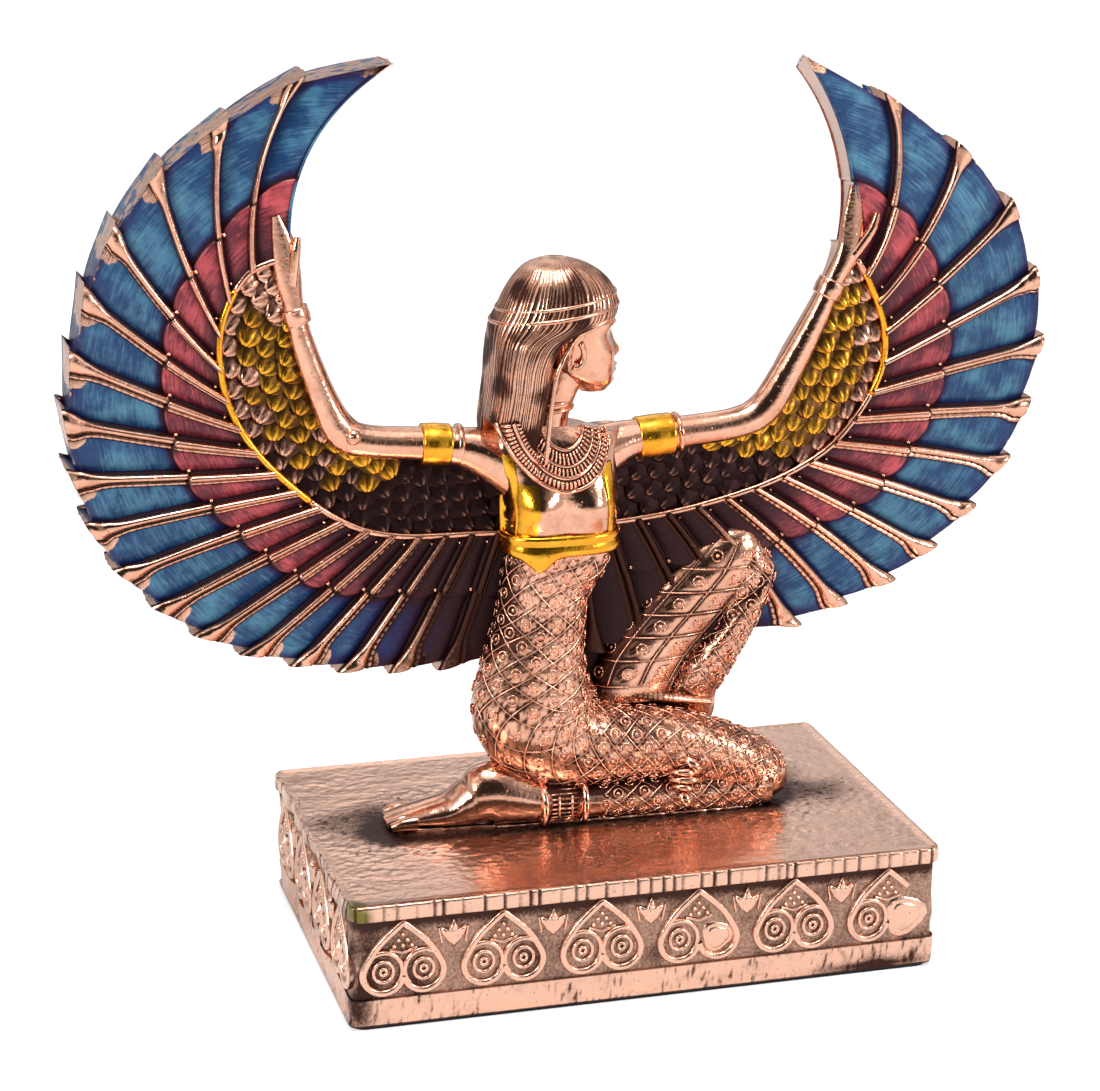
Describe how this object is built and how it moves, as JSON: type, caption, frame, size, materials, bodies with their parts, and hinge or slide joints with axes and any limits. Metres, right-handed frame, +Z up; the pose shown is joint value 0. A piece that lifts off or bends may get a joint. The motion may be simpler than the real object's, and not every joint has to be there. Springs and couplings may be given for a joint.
{
  "type": "winged isis statue",
  "caption": "Kneeling winged goddess statue on a relief plinth, copper finish with blue and red enamelled feathers and gold trim",
  "frame": {"origin": "centre of the underside of the base pad, on the surface that the statue stands on", "axes": "+X along the plinth's long side to the viewer's right, +Y from the front to the back, +Z up"},
  "size_m": [0.1653, 0.0628, 0.1483],
  "materials": {
    "copper": "copper plating with dark patina in the recesses, blue and red enamel on the feathers, gold paint on the trim",
    "plinth_copper": "copper plating, darker and rippled on top",
    "pad": "thin black felt or paper"
  },
  "bodies": {
    "root": {"isis_figure": "copper", "plinth": "plinth_copper", "base_pad": "pad"}
  },
  "joints": []
}
